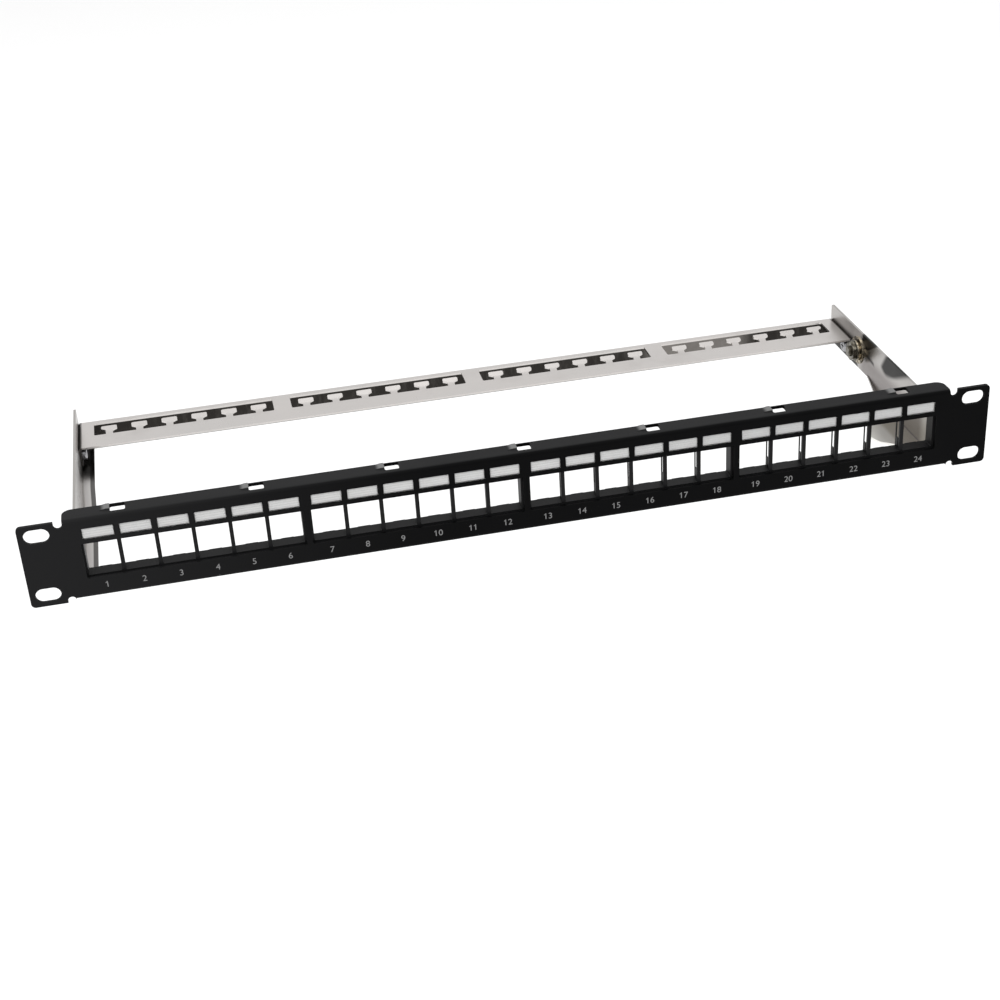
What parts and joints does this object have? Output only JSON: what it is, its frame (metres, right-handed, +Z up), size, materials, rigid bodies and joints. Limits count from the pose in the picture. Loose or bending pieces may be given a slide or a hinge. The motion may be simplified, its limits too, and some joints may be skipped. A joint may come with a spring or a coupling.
{
  "type": "patch panel",
  "caption": "Rack-mount keystone patch panel, one unit high, with numbered label windows, side arms, a rear cable bar with tie tabs and an earth terminal.",
  "frame": {"origin": "centre of the four rack slots, on the ears' rear faces, which meet the rack rails", "axes": "+X to the right seen from the front, +Y to the rear, +Z up"},
  "size_m": [0.4826, 0.148, 0.0442],
  "materials": {
    "black_steel": "fine-texture black powder coat",
    "black_plastic": "moulded, lightly textured",
    "clear_plastic": "clear moulded plastic, smooth",
    "label_paper": "matt white label strip with fine ruled lines",
    "bright_steel": "nickel-plated sheet, semi-bright",
    "pale_steel": "nickel-plated sheet, satin",
    "zinc_steel": "bright zinc plate",
    "brass": "plain brass"
  },
  "bodies": {
    "root": {"front_panel": "black_steel", "port_frame_1": "black_plastic", "port_frame_2": "black_plastic", "port_frame_3": "black_plastic", "port_frame_4": "black_plastic", "label_cover_1": "clear_plastic", "label_cover_2": "clear_plastic", "label_cover_3": "clear_plastic", "label_cover_4": "clear_plastic", "label_insert_1": "label_paper", "label_insert_2": "label_paper", "label_insert_3": "label_paper", "label_insert_4": "label_paper", "left_arm": "bright_steel", "right_arm": "bright_steel", "cable_bar": "pale_steel", "panel_studs": "zinc_steel", "stud_washers": "zinc_steel", "stud_nuts": "zinc_steel", "bar_screws": "zinc_steel", "earth_bolt": "brass", "earth_washers": "brass", "earth_nuts": "brass"}
  },
  "joints": []
}
